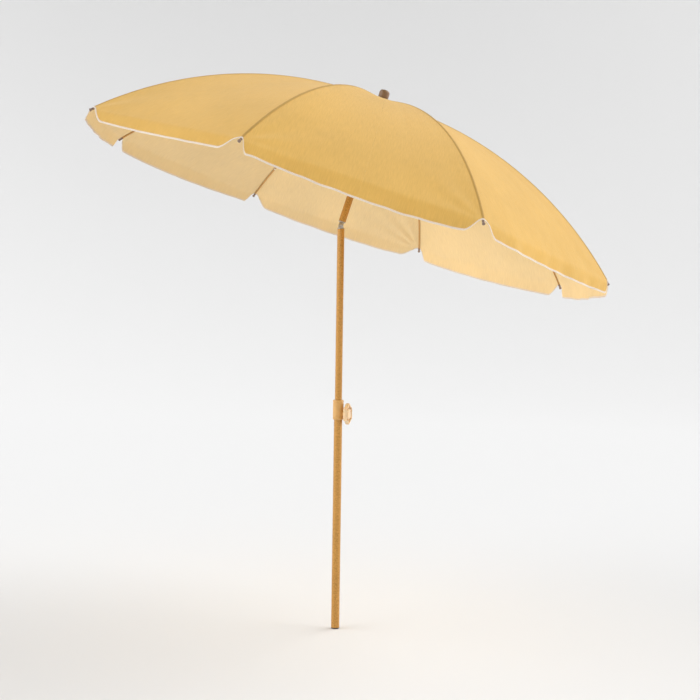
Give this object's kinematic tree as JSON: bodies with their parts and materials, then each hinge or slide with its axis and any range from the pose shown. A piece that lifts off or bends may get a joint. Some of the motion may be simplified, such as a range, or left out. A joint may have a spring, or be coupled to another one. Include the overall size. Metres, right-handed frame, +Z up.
{
  "type": "beach umbrella",
  "caption": "Tilting beach umbrella: telescopic painted pole with a clamp knob, a tilt knuckle, folding ribs and a cloth canopy with a valance.",
  "frame": {"origin": "centre of the foot plug's flat underside, on the axis of the lower pole", "axes": "+Z up along the lower pole, +X towards the side that the canopy tilts down to"},
  "size_m": [1.6146, 1.6844, 1.8165],
  "materials": {
    "pole_paint": "golden-brown powder coat, satin",
    "gold_plastic": "moulded, satin",
    "knob_plastic": "moulded, glossy",
    "bare_metal": "zinc plated",
    "spring_steel": "bright drawn",
    "rib_paint": "painted spring steel",
    "dark_plastic": "moulded, matt",
    "tip_plastic": "moulded, matt",
    "brown_plastic": "moulded, satin",
    "cloth": "woven polyester, matt"
  },
  "bodies": {
    "base": {"foot_plug": "dark_plastic", "lower_pole": "pole_paint", "clamp_collar": "gold_plastic"},
    "pad": {"pressure_pad": "dark_plastic"},
    "knob": {"clamp_knob": "knob_plastic"},
    "mast": {"upper_pole": "pole_paint", "tilt_fork": "bare_metal", "tilt_spring": "spring_steel"},
    "button": {"tilt_button": "bare_metal"},
    "head": {"tilt_pin": "bare_metal", "tilt_tongue": "bare_metal", "top_pole": "pole_paint", "hub": "dark_plastic", "hub_wire": "spring_steel", "finial": "brown_plastic"},
    "catch": {"runner_catch": "spring_steel"},
    "runner": {"runner": "dark_plastic"},
    "rib_1": {"rib_1": "rib_paint", "rib_tip_1": "tip_plastic"},
    "rib_2": {"rib_2": "rib_paint", "rib_tip_2": "tip_plastic"},
    "rib_3": {"rib_3": "rib_paint", "rib_tip_3": "tip_plastic"},
    "rib_4": {"rib_4": "rib_paint", "rib_tip_4": "tip_plastic"},
    "rib_5": {"rib_5": "rib_paint", "rib_tip_5": "tip_plastic"},
    "rib_6": {"rib_6": "rib_paint", "rib_tip_6": "tip_plastic"},
    "rib_7": {"rib_7": "rib_paint", "rib_tip_7": "tip_plastic"},
    "rib_8": {"rib_8": "rib_paint", "rib_tip_8": "tip_plastic"},
    "stretcher_1": {"stretcher_1": "rib_paint"},
    "stretcher_2": {"stretcher_2": "rib_paint"},
    "stretcher_3": {"stretcher_3": "rib_paint"},
    "stretcher_4": {"stretcher_4": "rib_paint"},
    "stretcher_5": {"stretcher_5": "rib_paint"},
    "stretcher_6": {"stretcher_6": "rib_paint"},
    "stretcher_7": {"stretcher_7": "rib_paint"},
    "stretcher_8": {"stretcher_8": "rib_paint"},
    "gore_1_first": {"gore_1_first": "cloth"},
    "gore_1_second": {"gore_1_second": "cloth"},
    "gore_2_first": {"gore_2_first": "cloth"},
    "gore_2_second": {"gore_2_second": "cloth"},
    "gore_3_first": {"gore_3_first": "cloth"},
    "gore_3_second": {"gore_3_second": "cloth"},
    "gore_4_first": {"gore_4_first": "cloth"},
    "gore_4_second": {"gore_4_second": "cloth"},
    "gore_5_first": {"gore_5_first": "cloth"},
    "gore_5_second": {"gore_5_second": "cloth"},
    "gore_6_first": {"gore_6_first": "cloth"},
    "gore_6_second": {"gore_6_second": "cloth"},
    "gore_7_first": {"gore_7_first": "cloth"},
    "gore_7_second": {"gore_7_second": "cloth"},
    "gore_8_first": {"gore_8_first": "cloth"},
    "gore_8_second": {"gore_8_second": "cloth"}
  },
  "joints": [
    {"name": "height_slide", "type": "slide", "parent": "base", "child": "mast", "axis": [0, 0, 1], "range_m": [-0.5, 0]},
    {"name": "pad_slide", "type": "slide", "parent": "base", "child": "pad", "axis": [0.9397, -0.342, 0], "range_m": [0, 0.003]},
    {"name": "knob_turn", "type": "hinge", "parent": "pad", "child": "knob", "pos_m": [0, 0, 0.722], "axis": [0.9397, -0.342, 0], "range_deg": [0, 720]},
    {"name": "tilt", "type": "hinge", "parent": "mast", "child": "head", "pos_m": [0, 0, 1.35], "axis": [0, 1, 0], "range_deg": [-17.5, 0]},
    {"name": "button_press", "type": "slide", "parent": "mast", "child": "button", "axis": [0, -1, 0], "range_m": [0, 0.003], "stiffness_N_per_m": 400, "deforming": ["tilt_spring"]},
    {"name": "catch_press", "type": "slide", "parent": "head", "child": "catch", "axis": [0, -1, 0], "range_m": [0, 0.0034], "stiffness_N_per_m": 400},
    {"name": "runner_slide", "type": "slide", "parent": "head", "child": "runner", "axis": [-0.3007, 0, -0.9537], "range_m": [0, 0.245], "deforming": ["runner_catch", "gore_1_first", "gore_1_second", "gore_2_first", "gore_2_second", "gore_3_first", "gore_3_second", "gore_4_first", "gore_4_second", "gore_5_first", "gore_5_second", "gore_6_first", "gore_6_second", "gore_7_first", "gore_7_second", "gore_8_first", "gore_8_second"]},
    {"name": "rib_1_fold", "type": "hinge", "parent": "head", "child": "rib_1", "pos_m": [0.10932, -0.00842, 1.7643], "axis": [0.365, -0.9239, -0.1151], "range_deg": [0, 65.3]},
    {"name": "rib_2_fold", "type": "hinge", "parent": "head", "child": "rib_2", "pos_m": [0.12067, -0.02032, 1.76072], "axis": [0.8811, -0.3827, -0.2778], "range_deg": [0, 65.3]},
    {"name": "rib_3_fold", "type": "hinge", "parent": "head", "child": "rib_3", "pos_m": [0.13673, -0.02032, 1.75566], "axis": [0.8811, 0.3827, -0.2778], "range_deg": [0, 65.3]},
    {"name": "rib_4_fold", "type": "hinge", "parent": "head", "child": "rib_4", "pos_m": [0.14809, -0.00842, 1.75208], "axis": [0.365, 0.9239, -0.1151], "range_deg": [0, 65.3]},
    {"name": "rib_5_fold", "type": "hinge", "parent": "head", "child": "rib_5", "pos_m": [0.14809, 0.00842, 1.75208], "axis": [-0.365, 0.9239, 0.1151], "range_deg": [0, 65.3]},
    {"name": "rib_6_fold", "type": "hinge", "parent": "head", "child": "rib_6", "pos_m": [0.13673, 0.02032, 1.75566], "axis": [-0.8811, 0.3827, 0.2778], "range_deg": [0, 65.3]},
    {"name": "rib_7_fold", "type": "hinge", "parent": "head", "child": "rib_7", "pos_m": [0.12067, 0.02032, 1.76072], "axis": [-0.8811, -0.3827, 0.2778], "range_deg": [0, 65.3]},
    {"name": "rib_8_fold", "type": "hinge", "parent": "head", "child": "rib_8", "pos_m": [0.10932, 0.00842, 1.7643], "axis": [-0.365, -0.9239, 0.1151], "range_deg": [0, 65.3]},
    {"name": "stretcher_1_fold", "type": "hinge", "parent": "rib_1", "child": "stretcher_1", "pos_m": [-0.05425, -0.07658, 1.79273], "axis": [-0.365, 0.9239, 0.1151], "range_deg": [0, 111.25]},
    {"name": "stretcher_2_fold", "type": "hinge", "parent": "rib_2", "child": "stretcher_2", "pos_m": [0.04903, -0.18487, 1.76017], "axis": [-0.8811, 0.3827, 0.2778], "range_deg": [0, 111.25]},
    {"name": "stretcher_3_fold", "type": "hinge", "parent": "rib_3", "child": "stretcher_3", "pos_m": [0.1951, -0.18487, 1.71412], "axis": [-0.8811, -0.3827, 0.2778], "range_deg": [0, 111.25]},
    {"name": "stretcher_4_fold", "type": "hinge", "parent": "rib_4", "child": "stretcher_4", "pos_m": [0.29838, -0.07658, 1.68155], "axis": [-0.365, -0.9239, 0.1151], "range_deg": [0, 111.25]},
    {"name": "stretcher_5_fold", "type": "hinge", "parent": "rib_5", "child": "stretcher_5", "pos_m": [0.29838, 0.07658, 1.68155], "axis": [0.365, -0.9239, -0.1151], "range_deg": [0, 111.25]},
    {"name": "stretcher_6_fold", "type": "hinge", "parent": "rib_6", "child": "stretcher_6", "pos_m": [0.1951, 0.18487, 1.71412], "axis": [0.8811, -0.3827, -0.2778], "range_deg": [0, 111.25]},
    {"name": "stretcher_7_fold", "type": "hinge", "parent": "rib_7", "child": "stretcher_7", "pos_m": [0.04903, 0.18487, 1.76017], "axis": [0.8811, 0.3827, -0.2778], "range_deg": [0, 111.25]},
    {"name": "stretcher_8_fold", "type": "hinge", "parent": "rib_8", "child": "stretcher_8", "pos_m": [-0.05425, 0.07658, 1.79273], "axis": [0.365, 0.9239, -0.1151], "range_deg": [0, 111.25]},
    {"name": "gore_1_first_fold", "type": "hinge", "parent": "rib_1", "child": "gore_1_first", "pos_m": [0.10932, -0.00842, 1.7643], "axis": [0.2513, 0.8065, -0.5352], "range_deg": [0, 24.9]},
    {"name": "gore_1_second_fold", "type": "hinge", "parent": "rib_2", "child": "gore_1_second", "pos_m": [0.12067, -0.02032, 1.76072], "axis": [-0.6384, -0.4006, 0.6573], "range_deg": [0, 24.9]},
    {"name": "gore_2_first_fold", "type": "hinge", "parent": "rib_2", "child": "gore_2_first", "pos_m": [0.12067, -0.02032, 1.76072], "axis": [-0.4045, 0.8535, -0.3285], "range_deg": [0, 24.9]},
    {"name": "gore_2_second_fold", "type": "hinge", "parent": "rib_3", "child": "gore_2_second", "pos_m": [0.13673, -0.02032, 1.75566], "axis": [-0.143, -0.8535, 0.5011], "range_deg": [0, 24.9]},
    {"name": "gore_3_first_fold", "type": "hinge", "parent": "rib_3", "child": "gore_3_first", "pos_m": [0.13673, -0.02032, 1.75566], "axis": [-0.8999, 0.4006, -0.1722], "range_deg": [0, 24.9]},
    {"name": "gore_3_second_fold", "type": "hinge", "parent": "rib_4", "child": "gore_3_second", "pos_m": [0.14809, -0.00842, 1.75208], "axis": [0.5128, -0.8065, 0.2943], "range_deg": [0, 24.9]},
    {"name": "gore_4_first_fold", "type": "hinge", "parent": "rib_4", "child": "gore_4_first", "pos_m": [0.14809, -0.00842, 1.75208], "axis": [-0.9448, -0.287, -0.1581], "range_deg": [0, 24.9]},
    {"name": "gore_4_second_fold", "type": "hinge", "parent": "rib_5", "child": "gore_4_second", "pos_m": [0.14809, 0.00842, 1.75208], "axis": [0.9448, -0.287, 0.1581], "range_deg": [0, 24.9]},
    {"name": "gore_5_first_fold", "type": "hinge", "parent": "rib_5", "child": "gore_5_first", "pos_m": [0.14809, 0.00842, 1.75208], "axis": [-0.5128, -0.8065, -0.2943], "range_deg": [0, 24.9]},
    {"name": "gore_5_second_fold", "type": "hinge", "parent": "rib_6", "child": "gore_5_second", "pos_m": [0.13673, 0.02032, 1.75566], "axis": [0.8999, 0.4006, 0.1722], "range_deg": [0, 24.9]},
    {"name": "gore_6_first_fold", "type": "hinge", "parent": "rib_6", "child": "gore_6_first", "pos_m": [0.13673, 0.02032, 1.75566], "axis": [0.143, -0.8535, -0.5011], "range_deg": [0, 24.9]},
    {"name": "gore_6_second_fold", "type": "hinge", "parent": "rib_7", "child": "gore_6_second", "pos_m": [0.12067, 0.02032, 1.76072], "axis": [0.4045, 0.8535, 0.3285], "range_deg": [0, 24.9]},
    {"name": "gore_7_first_fold", "type": "hinge", "parent": "rib_7", "child": "gore_7_first", "pos_m": [0.12067, 0.02032, 1.76072], "axis": [0.6384, -0.4006, -0.6573], "range_deg": [0, 24.9]},
    {"name": "gore_7_second_fold", "type": "hinge", "parent": "rib_8", "child": "gore_7_second", "pos_m": [0.10932, 0.00842, 1.7643], "axis": [-0.2513, 0.8065, 0.5352], "range_deg": [0, 24.9]},
    {"name": "gore_8_first_fold", "type": "hinge", "parent": "rib_8", "child": "gore_8_first", "pos_m": [0.10932, 0.00842, 1.7643], "axis": [0.6832, 0.287, -0.6714], "range_deg": [0, 24.9]},
    {"name": "gore_8_second_fold", "type": "hinge", "parent": "rib_1", "child": "gore_8_second", "pos_m": [0.10932, -0.00842, 1.7643], "axis": [-0.6832, 0.287, 0.6714], "range_deg": [0, 24.9]}
  ],
  "couplings": [
    {"joint": "pad_slide", "follows": "knob_turn", "m_per_rad": 0.00023873},
    {"joint": "rib_1_fold", "follows": "runner_slide", "rad_per_m": 4.6518},
    {"joint": "rib_2_fold", "follows": "runner_slide", "rad_per_m": 4.6518},
    {"joint": "rib_3_fold", "follows": "runner_slide", "rad_per_m": 4.6518},
    {"joint": "rib_4_fold", "follows": "runner_slide", "rad_per_m": 4.6518},
    {"joint": "rib_5_fold", "follows": "runner_slide", "rad_per_m": 4.6518},
    {"joint": "rib_6_fold", "follows": "runner_slide", "rad_per_m": 4.6518},
    {"joint": "rib_7_fold", "follows": "runner_slide", "rad_per_m": 4.6518},
    {"joint": "rib_8_fold", "follows": "runner_slide", "rad_per_m": 4.6518},
    {"joint": "stretcher_1_fold", "follows": "runner_slide", "rad_per_m": 7.925},
    {"joint": "stretcher_2_fold", "follows": "runner_slide", "rad_per_m": 7.925},
    {"joint": "stretcher_3_fold", "follows": "runner_slide", "rad_per_m": 7.925},
    {"joint": "stretcher_4_fold", "follows": "runner_slide", "rad_per_m": 7.925},
    {"joint": "stretcher_5_fold", "follows": "runner_slide", "rad_per_m": 7.925},
    {"joint": "stretcher_6_fold", "follows": "runner_slide", "rad_per_m": 7.925},
    {"joint": "stretcher_7_fold", "follows": "runner_slide", "rad_per_m": 7.925},
    {"joint": "stretcher_8_fold", "follows": "runner_slide", "rad_per_m": 7.925},
    {"joint": "gore_1_first_fold", "follows": "runner_slide", "rad_per_m": 1.7733},
    {"joint": "gore_1_second_fold", "follows": "runner_slide", "rad_per_m": 1.7733},
    {"joint": "gore_2_first_fold", "follows": "runner_slide", "rad_per_m": 1.7733},
    {"joint": "gore_2_second_fold", "follows": "runner_slide", "rad_per_m": 1.7733},
    {"joint": "gore_3_first_fold", "follows": "runner_slide", "rad_per_m": 1.7733},
    {"joint": "gore_3_second_fold", "follows": "runner_slide", "rad_per_m": 1.7733},
    {"joint": "gore_4_first_fold", "follows": "runner_slide", "rad_per_m": 1.7733},
    {"joint": "gore_4_second_fold", "follows": "runner_slide", "rad_per_m": 1.7733},
    {"joint": "gore_5_first_fold", "follows": "runner_slide", "rad_per_m": 1.7733},
    {"joint": "gore_5_second_fold", "follows": "runner_slide", "rad_per_m": 1.7733},
    {"joint": "gore_6_first_fold", "follows": "runner_slide", "rad_per_m": 1.7733},
    {"joint": "gore_6_second_fold", "follows": "runner_slide", "rad_per_m": 1.7733},
    {"joint": "gore_7_first_fold", "follows": "runner_slide", "rad_per_m": 1.7733},
    {"joint": "gore_7_second_fold", "follows": "runner_slide", "rad_per_m": 1.7733},
    {"joint": "gore_8_first_fold", "follows": "runner_slide", "rad_per_m": 1.7733},
    {"joint": "gore_8_second_fold", "follows": "runner_slide", "rad_per_m": 1.7733}
  ]
}
